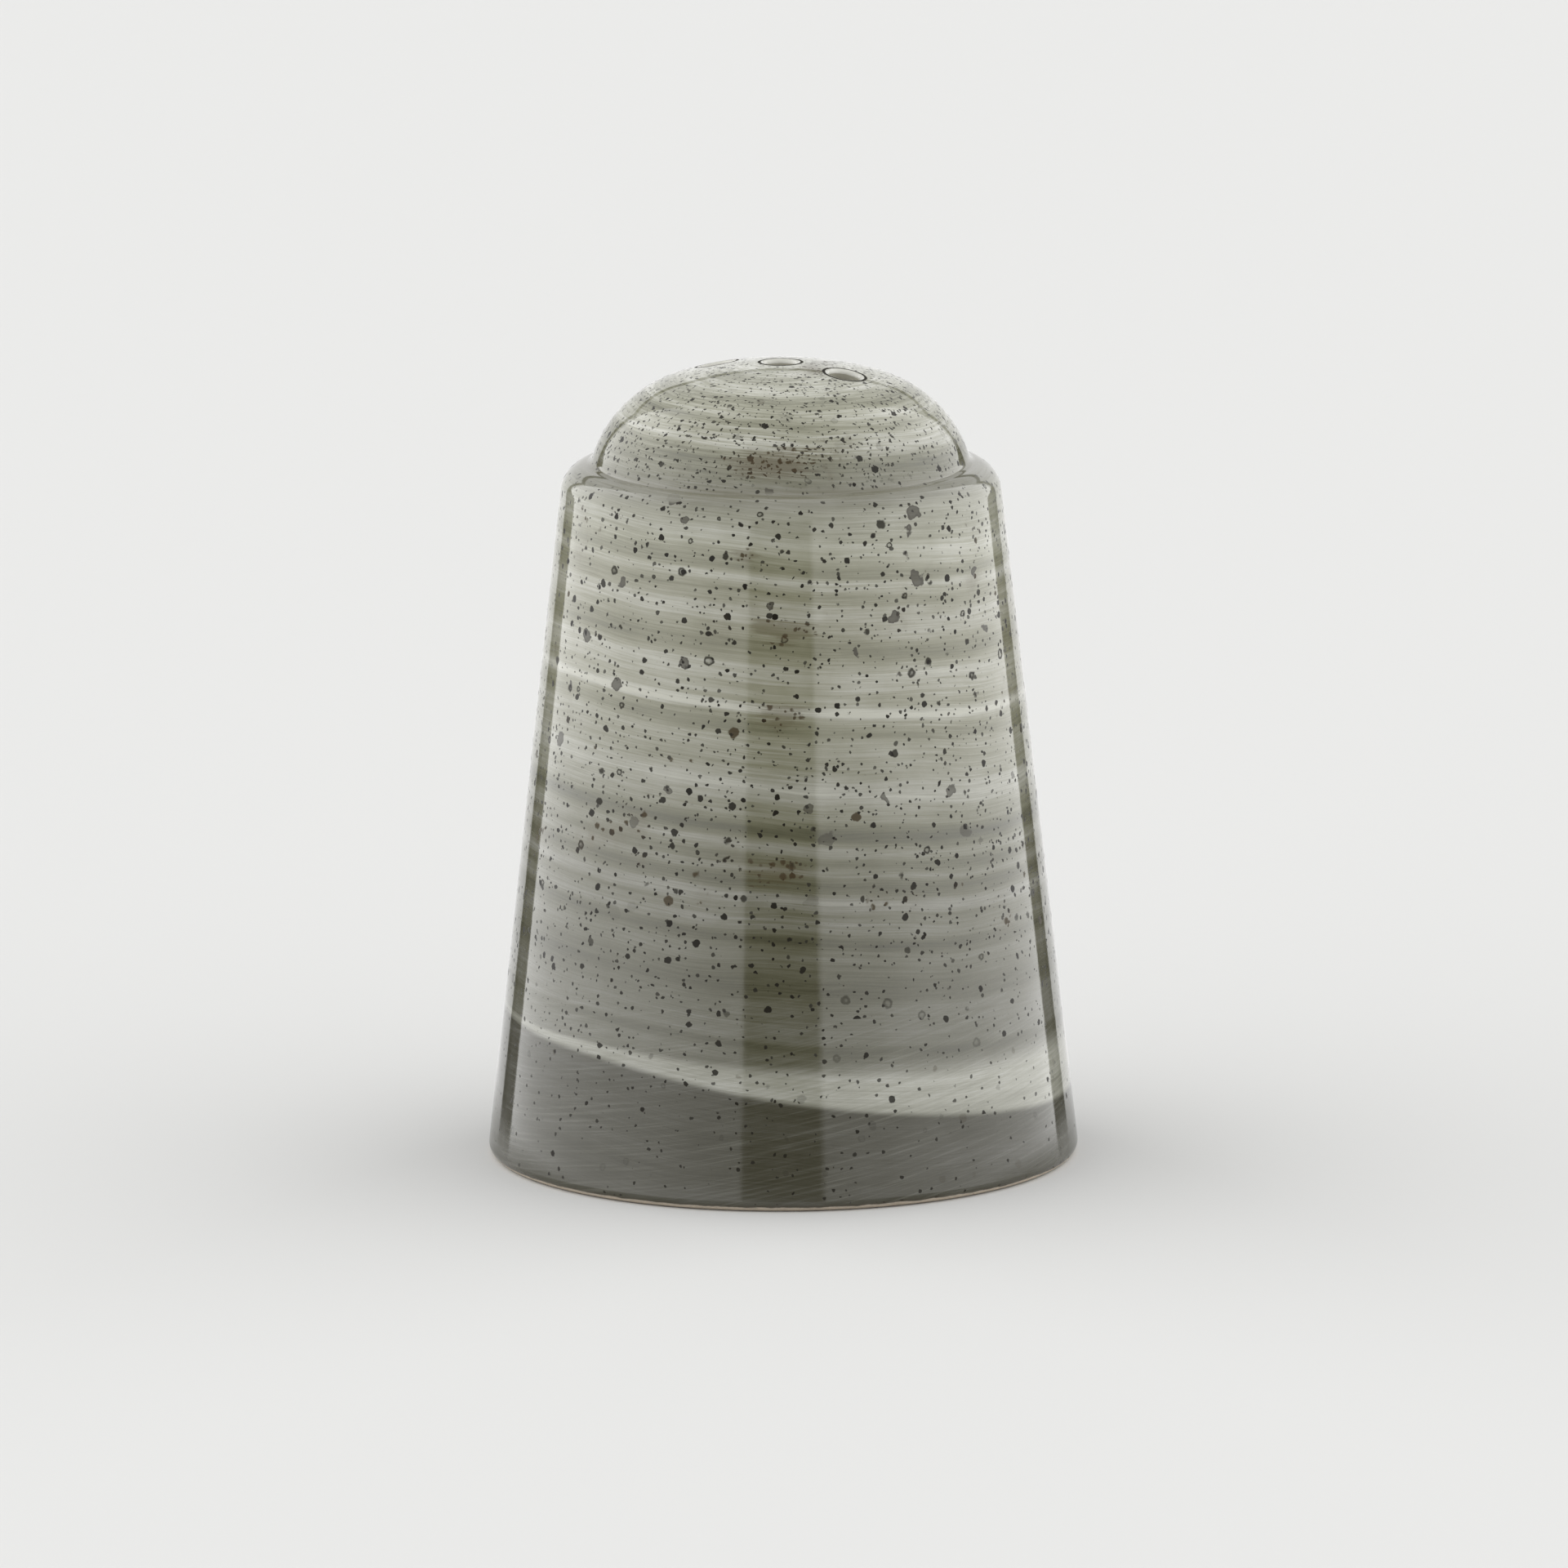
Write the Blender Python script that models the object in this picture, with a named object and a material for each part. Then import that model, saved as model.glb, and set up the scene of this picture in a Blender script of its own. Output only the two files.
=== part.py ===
"""Cast salt shaker in two pieces: a hollow glazed body that pours through its dome and is filled through its base,
and the soft stopper that closes the fill hole. Metres, +Z up, standing on z = 0 with its axis on Z."""

import math

import bmesh
import bpy
from mathutils import Matrix, Vector

# Body, outside. The wall and the ledge are straight lines that would meet in the shoulder corner.
FOOT_RADIUS = 0.0296  # where the wall's line reaches the table
SHOULDER_RADIUS = 0.0217
SHOULDER_HEIGHT = 0.0693
SHOULDER_ROUND = 0.0031
LEDGE_WIDTH = 0.0028  # from the shoulder corner in to the dome
LEDGE_SLOPE = math.radians(13)
COVE_ROUND = 0.00095  # hollow fillet between ledge and dome
DOME_LEAN = math.radians(17.6)  # the dome's side, from upright
DOME_RISE = 0.0107  # top of the dome above the shoulder corner
CROWN_RADIUS = 0.0368

# Body, inside and base
WALL = 0.0036
CAVITY_SHOULDER_ROUND = 0.0012
CAVITY_FLOOR_ROUND = 0.0040
FOOT_WIDTH = 0.0050
FOOT_EDGE_ROUND = 0.0010
RECESS_DEPTH = 0.0030  # base panel above the table
RECESS_LEAN = math.radians(35)
RECESS_ROUND = 0.0015
BASE_THICKNESS = 0.0040
FILL_RADIUS = 0.0100
FILL_EDGE_ROUND = 0.0008

# Pouring holes, in a row across the crown
HOLE_COUNT = 3
HOLE_PITCH = 0.0072
HOLE_RADIUS = 0.0016
HOLE_LIP_ROUND = 0.00045  # glaze rounds both rims of a hole
HOLE_LIP_BREAK = math.radians(30)  # angle at which a rounded rim meets the face of the wall

# Stopper
STOPPER_CLEARANCE = 0.0003  # to the fill hole, and below the base panel
FLANGE_OVERLAP = 0.0028  # flange beyond the fill hole
FLANGE_THICKNESS = 0.0015
FLANGE_EDGE_ROUND = 0.0005
PLUG_REACH = 0.0025  # plug above the base panel
PLUG_WALL = 0.0016
PLUG_LEAD_IN = 0.0010
WEB_THICKNESS = 0.0020  # floor of the hollow plug
WEB_ROUND = 0.0010
RIB_COUNT = 2
RIB_DEPTH = 0.0006
RIB_WIDTH = 0.0014
TAB_WIDTH = 0.0080
TAB_REACH = 0.0050  # pull tab beyond the flange
TAB_THICKNESS = 0.0010
TAB_EDGE_ROUND = 0.0003

# Facets
BODY_SEGMENTS = 72
STOPPER_SEGMENTS = 40
HOLE_SEGMENTS = 24
CHORD_DEPTH = 0.00003  # how far a profile's facets may lie from its true arcs
CUT_MARGIN = 0.0010  # a cutter stands this far out of the wall


def arc(centre, radius, first, last):
    """Points on an arc from angle first to angle last, both measured up from the radial direction."""
    facet = 2 * math.acos(1 - CHORD_DEPTH / max(radius, 2 * CHORD_DEPTH))
    steps = max(2, math.ceil(abs(last - first) / facet))
    angles = [first + (last - first) * i / steps for i in range(steps + 1)]
    return [centre + radius * Vector((math.cos(a), math.sin(a))) for a in angles]


def rounded(corners):
    """Profile through (radius, height, round) corners, each corner turned into a tangent arc.
    Two arcs that are too long for the straight between them share it in proportion."""
    points = [Vector(corner[:2]) for corner in corners]
    runs = [b - a for a, b in zip(points, points[1:])]
    turns = [math.atan2(u.cross(v), u.dot(v)) for u, v in zip(runs, runs[1:])]
    reaches = [corner[2] * math.tan(abs(turn) / 2) for corner, turn in zip(corners[1:], turns)]
    wanted = [0.0, *reaches, 0.0]
    shares = [min(1.0, run.length / max(a + b, 1e-9)) for run, a, b in zip(runs, wanted, wanted[1:])]
    profile = [points[0]]
    for i, turn in enumerate(turns):
        share = min(shares[i], shares[i + 1])
        radius = corners[i + 1][2] * share
        into = runs[i].normalized()
        outward = Vector((into.y, -into.x)) * math.copysign(1, turn)
        centre = points[i + 1] - into * reaches[i] * share - outward * radius
        first = math.atan2(outward.y, outward.x)
        profile += arc(centre, radius, first, first + turn)
    profile.append(points[-1])
    return profile


def turned(name, profile, segments):
    """Solid of revolution about Z. The profile runs down the outer side, from the axis back to the axis."""
    bm = bmesh.new()
    verts = [bm.verts.new((p.x, 0, p.y)) for p in profile]
    edges = [bm.edges.new(pair) for pair in zip(verts, verts[1:])]
    bmesh.ops.spin(
        bm, geom=verts + edges, cent=(0, 0, 0), axis=(0, 0, 1), angle=math.tau, steps=segments, use_merge=True
    )
    bmesh.ops.remove_doubles(bm, verts=bm.verts, dist=1e-6)
    bmesh.ops.recalc_face_normals(bm, faces=bm.faces)
    return add_object(name, bm)


def add_object(name, bm):
    mesh = bpy.data.meshes.new(name)
    bm.to_mesh(mesh)
    bm.free()
    mesh.shade_smooth()
    mesh.set_sharp_from_angle(angle=math.radians(40))
    obj = bpy.data.objects.new(name, mesh)
    bpy.context.scene.collection.objects.link(obj)
    return obj


def combine(target, tool, operation):
    """Adds a Boolean that keeps its tool as a hidden wire object under the target."""
    tool.hide_render = True
    tool.display_type = "WIRE"
    tool.parent = target
    boolean = target.modifiers.new(tool.name, "BOOLEAN")
    boolean.object = tool
    boolean.operation = operation
    boolean.solver = "EXACT"


def add_material(obj, colour, roughness):
    material = bpy.data.materials.new(obj.name)
    material.use_nodes = True
    shader = material.node_tree.nodes["Principled BSDF"]
    shader.inputs["Base Color"].default_value = (*colour, 1)
    shader.inputs["Roughness"].default_value = roughness
    shader.inputs["Metallic"].default_value = 0
    obj.data.materials.append(material)


def body_profile():
    """Outline of the cast wall, from the top of the dome down the outside, round the base and up the inside.
    Also returns the centre height of the crown."""
    taper = math.atan((FOOT_RADIUS - SHOULDER_RADIUS) / SHOULDER_HEIGHT)
    floor = RECESS_DEPTH + BASE_THICKNESS
    shoulder = Vector((SHOULDER_RADIUS, SHOULDER_HEIGHT))
    dome_foot = shoulder + LEDGE_WIDTH * Vector((-1, math.tan(LEDGE_SLOPE)))
    up_dome = Vector((-math.sin(DOME_LEAN), math.cos(DOME_LEAN)))
    foot_inside = FOOT_RADIUS - FOOT_WIDTH
    outside = rounded([
        (*(dome_foot + up_dome * DOME_RISE), 0),
        (*dome_foot, COVE_ROUND),
        (*shoulder, SHOULDER_ROUND),
        (FOOT_RADIUS, 0, FOOT_EDGE_ROUND),
        (foot_inside, 0, FOOT_EDGE_ROUND),
        (foot_inside - RECESS_DEPTH * math.tan(RECESS_LEAN), RECESS_DEPTH, RECESS_ROUND),
        (FILL_RADIUS, RECESS_DEPTH, FILL_EDGE_ROUND),
        (FILL_RADIUS, floor, FILL_EDGE_ROUND),
        (FILL_RADIUS + FILL_EDGE_ROUND, floor, 0),
    ])[1:]

    # One arc leads from the end of the cove into the crown, tangent to both.
    crown = Vector((0, SHOULDER_HEIGHT + DOME_RISE - CROWN_RADIUS))
    dome_normal = Vector((math.cos(DOME_LEAN), math.sin(DOME_LEAN)))
    spring = outside[0] - crown
    side_round = (CROWN_RADIUS**2 - spring.length_squared) / (2 * (CROWN_RADIUS - spring.dot(dome_normal)))
    side_centre = outside[0] - side_round * dome_normal
    meet = math.atan2(side_centre.y - crown.y, side_centre.x)
    dome = arc(crown, CROWN_RADIUS, math.pi / 2, meet)
    dome += arc(side_centre, side_round, meet, DOME_LEAN)[1:-1]

    # The casting has an even wall, so the inside lines lie one wall in from the outside ones.
    wall_normal = Vector((math.cos(taper), math.sin(taper)))
    ledge_normal = Vector((math.sin(LEDGE_SLOPE), math.cos(LEDGE_SLOPE)))
    cavity_floor = Vector((FOOT_RADIUS - floor * math.tan(taper) - WALL / math.cos(taper), floor))
    inside = rounded([
        (*outside[-1], 0),
        (*cavity_floor, CAVITY_FLOOR_ROUND),
        (*inner_corner(shoulder, wall_normal, ledge_normal), CAVITY_SHOULDER_ROUND),
        (*inner_corner(dome_foot, ledge_normal, dome_normal), COVE_ROUND + WALL),
        (*(outside[0] - WALL * dome_normal), 0),
    ])[1:]
    ceiling = arc(side_centre, side_round - WALL, DOME_LEAN, meet)[1:]
    ceiling += arc(crown, CROWN_RADIUS - WALL, meet, math.pi / 2)[1:]
    return dome + outside + inside + ceiling, crown.y


def inner_corner(corner, first_normal, second_normal):
    """Where the two lines through a corner meet once both have moved in by the wall."""
    return corner - WALL * (Matrix((first_normal, second_normal)).inverted() @ Vector((1, 1)))


def hole_profile():
    """Outline of one pouring hole, up the radius of the crown: a bore that flares into both faces of the wall."""
    ceiling = CROWN_RADIUS - WALL
    rim = HOLE_RADIUS + HOLE_LIP_ROUND
    depth = HOLE_LIP_ROUND * math.cos(HOLE_LIP_BREAK)
    top = Vector((rim, math.sqrt((CROWN_RADIUS - depth) ** 2 - rim**2)))
    bottom = Vector((rim, math.sqrt((ceiling + depth) ** 2 - rim**2)))
    lean_top = math.atan2(top.y, top.x)
    lean_bottom = math.atan2(bottom.y, bottom.x)
    flare_top = arc(top, HOLE_LIP_ROUND, lean_top, math.pi)
    flare_bottom = arc(bottom, HOLE_LIP_ROUND, math.pi, math.pi + lean_bottom)
    above = flare_top[0] * (1 + CUT_MARGIN / CROWN_RADIUS)
    below = flare_bottom[-1] * (1 - CUT_MARGIN / ceiling)
    return [Vector((0, above.y)), above, *flare_top, *flare_bottom, below, Vector((0, below.y))]


def stopper_profile():
    """Outline of the stopper, from the floor of its hollow up, over the rim and down the ribbed plug to the flange."""
    rib_radius = FILL_RADIUS - STOPPER_CLEARANCE
    plug_radius = rib_radius - RIB_DEPTH
    hollow_radius = plug_radius - PLUG_WALL
    flange_radius = FILL_RADIUS + FLANGE_OVERLAP
    flange_top = RECESS_DEPTH - STOPPER_CLEARANCE
    flange_bottom = flange_top - FLANGE_THICKNESS
    web_top = flange_bottom + WEB_THICKNESS
    plug_top = RECESS_DEPTH + BASE_THICKNESS + PLUG_REACH
    corners = [
        (0, web_top, 0),
        (hollow_radius, web_top, WEB_ROUND),
        (hollow_radius, plug_top, PLUG_WALL / 4),
        (plug_radius - PLUG_LEAD_IN / 2, plug_top, PLUG_WALL / 4),
        (plug_radius, plug_top - PLUG_LEAD_IN, PLUG_WALL / 4),
    ]
    for i in range(RIB_COUNT):
        height = RECESS_DEPTH + BASE_THICKNESS * (RIB_COUNT - i) / (RIB_COUNT + 1)
        corners += [
            (plug_radius, height + RIB_WIDTH / 2, RIB_DEPTH / 4),
            (rib_radius, height, RIB_DEPTH / 2),
            (plug_radius, height - RIB_WIDTH / 2, RIB_DEPTH / 4),
        ]
    corners += [
        (plug_radius, flange_top, FLANGE_EDGE_ROUND),
        (flange_radius, flange_top, FLANGE_EDGE_ROUND),
        (flange_radius, flange_bottom, FLANGE_EDGE_ROUND),
        (0, flange_bottom, 0),
    ]
    return rounded(corners)


def build_pull_tab(name):
    """Flat tongue from the stopper's axis out past its flange, with a round end and softened edges."""
    middle = RECESS_DEPTH - STOPPER_CLEARANCE - FLANGE_THICKNESS / 2
    half = TAB_WIDTH / 2
    end = Vector((FILL_RADIUS + FLANGE_OVERLAP + TAB_REACH - half, 0))
    outline = [Vector((0, -half)), *arc(end, half, -math.pi / 2, math.pi / 2), Vector((0, half))]
    bm = bmesh.new()
    low = middle - TAB_THICKNESS / 2
    face = bm.faces.new([bm.verts.new((p.x, p.y, low)) for p in outline])
    raised = bmesh.ops.extrude_face_region(bm, geom=[face])["geom"]
    bmesh.ops.translate(bm, verts=[v for v in raised if isinstance(v, bmesh.types.BMVert)], vec=(0, 0, TAB_THICKNESS))
    bmesh.ops.recalc_face_normals(bm, faces=bm.faces)
    rims = [e for e in bm.edges if abs(e.verts[0].co.z - e.verts[1].co.z) < TAB_THICKNESS / 2]
    bmesh.ops.bevel(bm, geom=rims, offset=TAB_EDGE_ROUND, segments=2, profile=0.5, affect="EDGES")
    return add_object(name, bm)


def build_body():
    profile, crown_height = body_profile()
    body = turned("shaker_body", profile, BODY_SEGMENTS)
    for i in range(HOLE_COUNT):
        place = (i - (HOLE_COUNT - 1) / 2) * HOLE_PITCH
        cutter = turned(f"hole_cutter_{i + 1}", hole_profile(), HOLE_SEGMENTS)
        cutter.location.z = crown_height
        cutter.rotation_euler.y = math.asin(place / CROWN_RADIUS)
        combine(body, cutter, "DIFFERENCE")
    add_material(body, (0.17, 0.165, 0.13), 0.12)


def build_stopper():
    stopper = turned("base_stopper", stopper_profile(), STOPPER_SEGMENTS)
    combine(stopper, build_pull_tab("pull_tab"), "UNION")
    add_material(stopper, (0.52, 0.51, 0.48), 0.5)


for old in list(bpy.data.objects):
    bpy.data.objects.remove(old)
build_body()
build_stopper()
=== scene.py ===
import math

import bpy
from mathutils import Matrix, Vector


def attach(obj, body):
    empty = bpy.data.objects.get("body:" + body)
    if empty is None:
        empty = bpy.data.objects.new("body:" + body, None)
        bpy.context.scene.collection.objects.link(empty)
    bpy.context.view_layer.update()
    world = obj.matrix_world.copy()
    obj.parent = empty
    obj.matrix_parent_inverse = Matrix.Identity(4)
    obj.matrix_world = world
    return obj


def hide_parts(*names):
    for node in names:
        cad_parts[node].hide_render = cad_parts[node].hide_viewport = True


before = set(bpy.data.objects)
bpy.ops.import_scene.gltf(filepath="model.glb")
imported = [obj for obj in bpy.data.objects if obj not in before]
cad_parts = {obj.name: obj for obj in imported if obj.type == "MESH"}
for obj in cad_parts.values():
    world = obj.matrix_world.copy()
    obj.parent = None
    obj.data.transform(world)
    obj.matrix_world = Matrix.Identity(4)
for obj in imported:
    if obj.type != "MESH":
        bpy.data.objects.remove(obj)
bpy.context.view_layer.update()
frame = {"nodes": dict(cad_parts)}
scene = bpy.context.scene
print("frame loaded:", ", ".join(frame["nodes"]))


# turned profiles, as (radius, height) points in metres

def arcPoints(centre, radius, first, last, longest=0.0004):
    sweep = abs(last - first)
    count = max(2, math.ceil(sweep / math.radians(7)), math.ceil(sweep * radius / longest))
    angles = [first + (last - first) * i / count for i in range(count + 1)]
    return [centre + radius * Vector((math.cos(a), math.sin(a))) for a in angles]


def roundCorners(corners):
    # every (radius, height, round) corner becomes a tangent arc, and arcs that meet share the straight
    points = [Vector(corner[:2]) for corner in corners]
    runs = [b - a for a, b in zip(points, points[1:])]
    turns = [math.atan2(u.cross(v), u.dot(v)) for u, v in zip(runs, runs[1:])]
    reaches = [corner[2] * math.tan(abs(turn) / 2) for corner, turn in zip(corners[1:], turns)]
    wanted = [0.0, *reaches, 0.0]
    shares = [min(1.0, run.length / max(a + b, 1e-9)) for run, a, b in zip(runs, wanted, wanted[1:])]
    profile = [points[0]]
    for i, turn in enumerate(turns):
        share = min(shares[i], shares[i + 1])
        radius = corners[i + 1][2] * share
        into = runs[i].normalized()
        outward = Vector((into.y, -into.x)) * math.copysign(1, turn)
        centre = points[i + 1] - into * reaches[i] * share - outward * radius
        first = math.atan2(outward.y, outward.x)
        profile += arcPoints(centre, radius, first, first + turn)
    return profile + [points[-1]]


def turnProfile(name, profile, steps):
    # one vertex, extruded along the profile and spun round Z
    bpy.ops.object.select_all(action="DESELECT")
    start = Vector((profile[0].x, 0, profile[0].y))
    bpy.ops.mesh.primitive_plane_add(size=0.001, location=start)
    piece = bpy.context.object
    piece.name = name
    bpy.ops.object.transform_apply(location=True, rotation=False, scale=False)
    bpy.ops.object.mode_set(mode="EDIT")
    bpy.ops.mesh.select_all(action="SELECT")
    bpy.ops.mesh.merge(type="CENTER")
    for a, b in zip(profile, profile[1:]):
        step = (b.x - a.x, 0, b.y - a.y)
        bpy.ops.mesh.extrude_region_move(TRANSFORM_OT_translate={"value": step})
    bpy.ops.mesh.select_all(action="SELECT")
    bpy.ops.mesh.spin(steps=steps, angle=math.tau, center=(0, 0, 0), axis=(0, 0, 1))
    bpy.ops.mesh.select_all(action="SELECT")
    bpy.ops.mesh.remove_doubles(threshold=2e-6)
    bpy.ops.mesh.normals_make_consistent(inside=False)
    bpy.ops.object.mode_set(mode="OBJECT")
    bpy.ops.object.shade_smooth()
    return piece


def joinShapes(piece, tool, operation):
    boolean = piece.modifiers.new(tool.name, "BOOLEAN")
    boolean.object = tool
    boolean.operation = operation
    boolean.solver = "EXACT"
    bpy.ops.object.select_all(action="DESELECT")
    bpy.context.view_layer.objects.active = piece
    piece.select_set(True)
    bpy.ops.object.modifier_apply(modifier=boolean.name)
    bpy.data.objects.remove(tool)


def softenNormals(piece):
    bpy.context.view_layer.objects.active = piece
    weighted = piece.modifiers.new("weighted", "WEIGHTED_NORMAL")
    weighted.keep_sharp = False
    weighted.weight = 60
    bpy.ops.object.modifier_apply(modifier=weighted.name)


# node helpers

def newMaterial(name):
    material = bpy.data.materials.new(name)
    material.use_nodes = True
    return material, material.node_tree, material.node_tree.nodes["Principled BSDF"]


def plug(tree, value, socket):
    if isinstance(value, bpy.types.NodeSocket):
        tree.links.new(value, socket)
    else:
        socket.default_value = value


def addNode(tree, kind, sockets=None, **settings):
    node = tree.nodes.new("ShaderNode" + kind)
    for name, value in settings.items():
        setattr(node, name, value)
    for name, value in (sockets or {}).items():
        plug(tree, value, node.inputs[name])
    return node


def calc(tree, operation, *values, clamp=False):
    node = addNode(tree, "Math", operation=operation, use_clamp=clamp)
    for value, socket in zip(values, node.inputs):
        plug(tree, value, socket)
    return node.outputs[0]


def vec(tree, operation, *values):
    node = addNode(tree, "VectorMath", operation=operation)
    for value, socket in zip(values, [s for s in node.inputs if s.enabled]):
        plug(tree, value, socket)
    return node.outputs["Value" if operation in ("LENGTH", "DOT_PRODUCT") else "Vector"]


def fade(tree, value, none, full):
    # 0 at none, 1 at full, eased between
    sockets = {"Value": value, "From Min": none, "From Max": full}
    return addNode(tree, "MapRange", sockets, interpolation_type="SMOOTHSTEP").outputs["Result"]


def blend(tree, factor, under, over):
    node = addNode(tree, "Mix", data_type="RGBA")
    for value, socket in zip((factor, under, over), (node.inputs[0], node.inputs[6], node.inputs[7])):
        plug(tree, value, socket)
    return node.outputs[2]


def noise(tree, vector, scale, detail=2.0, roughness=0.5):
    sockets = {"Vector": vector, "Scale": scale, "Detail": detail, "Roughness": roughness}
    return addNode(tree, "TexNoise", sockets).outputs["Fac"]


def ramp(tree, value, stops, ease="LINEAR"):
    node = addNode(tree, "ValToRGB", {"Fac": value})
    node.color_ramp.interpolation = ease
    elements = node.color_ramp.elements
    while len(elements) < len(stops):
        elements.new(1.0)
    for element, (place, colour) in zip(elements, stops):
        element.position = place
        element.color = (*colour, 1)
    return node.outputs["Color"]


# shaker body

bodySizes = {
    "footRadius": 0.02959, "shoulderRadius": 0.0217, "shoulderHeight": 0.0693, "shoulderRound": 0.0031,
    "ledgeWidth": 0.0028, "ledgeSlope": 13, "coveRound": 0.00095,
    "domeLean": 17.6, "domeRise": 0.01067, "crownRadius": 0.0368,
    "wall": 0.0036, "cavityShoulderRound": 0.0012, "cavityFloorRound": 0.004,
    "footWidth": 0.005, "footRound": 0.001, "recessDepth": 0.003, "recessLean": 35, "recessRound": 0.0015,
    "baseThickness": 0.004, "fillRadius": 0.010, "fillRound": 0.0008,
    "holePlaces": (-0.0072, 0.0, 0.0072), "holeRadius": 0.0016, "lipRound": 0.00045, "lipBreak": 14,
    "steps": 256, "holeSteps": 64,
}


def innerCorner(corner, firstNormal, secondNormal, wall):
    return corner - wall * (Matrix((firstNormal, secondNormal)).inverted() @ Vector((1, 1)))


def bodyProfile(s):
    taper = math.atan((s["footRadius"] - s["shoulderRadius"]) / s["shoulderHeight"])
    slope, lean = math.radians(s["ledgeSlope"]), math.radians(s["domeLean"])
    panel = s["recessDepth"] + s["baseThickness"]
    shoulder = Vector((s["shoulderRadius"], s["shoulderHeight"]))
    domeFoot = shoulder + s["ledgeWidth"] * Vector((-1, math.tan(slope)))
    upDome = Vector((-math.sin(lean), math.cos(lean)))
    footInside = s["footRadius"] - s["footWidth"]
    recessEdge = footInside - s["recessDepth"] * math.tan(math.radians(s["recessLean"]))
    outside = roundCorners([
        (*(domeFoot + upDome * s["domeRise"]), 0),
        (*domeFoot, s["coveRound"]),
        (*shoulder, s["shoulderRound"]),
        (s["footRadius"], 0, s["footRound"]),
        (footInside, 0, s["footRound"]),
        (recessEdge, s["recessDepth"], s["recessRound"]),
        (s["fillRadius"], s["recessDepth"], s["fillRound"]),
        (s["fillRadius"], panel, s["fillRound"]),
        (s["fillRadius"] + s["fillRound"], panel, 0),
    ])[1:]
    # the dome springs from the cove on one arc that runs into the crown
    crown = Vector((0, s["shoulderHeight"] + s["domeRise"] - s["crownRadius"]))
    domeNormal = Vector((math.cos(lean), math.sin(lean)))
    spring = outside[0] - crown
    reach = 2 * (s["crownRadius"] - spring.dot(domeNormal))
    sideRound = (s["crownRadius"] ** 2 - spring.length_squared) / reach
    sideCentre = outside[0] - sideRound * domeNormal
    meet = math.atan2(sideCentre.y - crown.y, sideCentre.x)
    dome = arcPoints(crown, s["crownRadius"], math.pi / 2, meet)
    dome += arcPoints(sideCentre, sideRound, meet, lean)[1:-1]
    # inside lines lie one wall in
    wall = s["wall"]
    wallNormal = Vector((math.cos(taper), math.sin(taper)))
    ledgeNormal = Vector((math.sin(slope), math.cos(slope)))
    cavityEdge = s["footRadius"] - panel * math.tan(taper) - wall / math.cos(taper)
    inside = roundCorners([
        (*outside[-1], 0),
        (cavityEdge, panel, s["cavityFloorRound"]),
        (*innerCorner(shoulder, wallNormal, ledgeNormal, wall), s["cavityShoulderRound"]),
        (*innerCorner(domeFoot, ledgeNormal, domeNormal, wall), s["coveRound"] + wall),
        (*(outside[0] - wall * domeNormal), 0),
    ])[1:]
    ceiling = arcPoints(sideCentre, sideRound - wall, lean, meet)[1:]
    ceiling += arcPoints(crown, s["crownRadius"] - wall, meet, math.pi / 2)[1:]
    return dome + outside + inside + ceiling, crown.y


def holeProfile(s):
    # a bore that flares into both faces of the wall, along the crown's radius
    outer, inner = s["crownRadius"], s["crownRadius"] - s["wall"]
    rim = s["holeRadius"] + s["lipRound"]
    depth = s["lipRound"] * math.cos(math.radians(s["lipBreak"]))
    top = Vector((rim, math.sqrt((outer - depth) ** 2 - rim ** 2)))
    bottom = Vector((rim, math.sqrt((inner + depth) ** 2 - rim ** 2)))
    topLean, bottomLean = math.atan2(top.y, top.x), math.atan2(bottom.y, bottom.x)
    flareTop = arcPoints(top, s["lipRound"], topLean, math.pi, 0.00004)
    flareBottom = arcPoints(bottom, s["lipRound"], math.pi, math.pi + bottomLean, 0.00008)
    above, below = flareTop[0] * (1 + 0.001 / outer), flareBottom[-1] * (1 - 0.001 / inner)
    return [Vector((0, above.y)), above, *flareTop, *flareBottom, below, Vector((0, below.y))]


def makeBody(s):
    profile, crownHeight = bodyProfile(s)
    body = turnProfile("shakerBody", profile, s["steps"])
    for place in s["holePlaces"]:
        cutter = turnProfile("holeCutter", holeProfile(s), s["holeSteps"])
        cutter.location.z = crownHeight
        cutter.rotation_euler.y = math.asin(place / s["crownRadius"])
        joinShapes(body, cutter, "DIFFERENCE")
    softenNormals(body)
    return body


shakerBody = makeBody(bodySizes)
print("body turned and pierced:", len(shakerBody.data.polygons), "faces")


# stopper

stopperSizes = {
    "clearance": 0.0003, "flangeOverlap": 0.0028, "flangeThickness": 0.0015, "flangeRound": 0.0005,
    "plugReach": 0.0025, "plugWall": 0.0016, "leadIn": 0.001, "webThickness": 0.002, "webRound": 0.001,
    "ribCount": 2, "ribDepth": 0.0006, "ribWidth": 0.0014,
    "tabWidth": 0.008, "tabReach": 0.005, "tabThickness": 0.001, "tabRound": 0.0003,
    "grooveRadius": 0.0102, "grooveWidth": 0.0012, "grooveDepth": 0.00025,
    "gateRadius": 0.0013, "gateDepth": 0.0002, "steps": 160,
}


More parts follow.
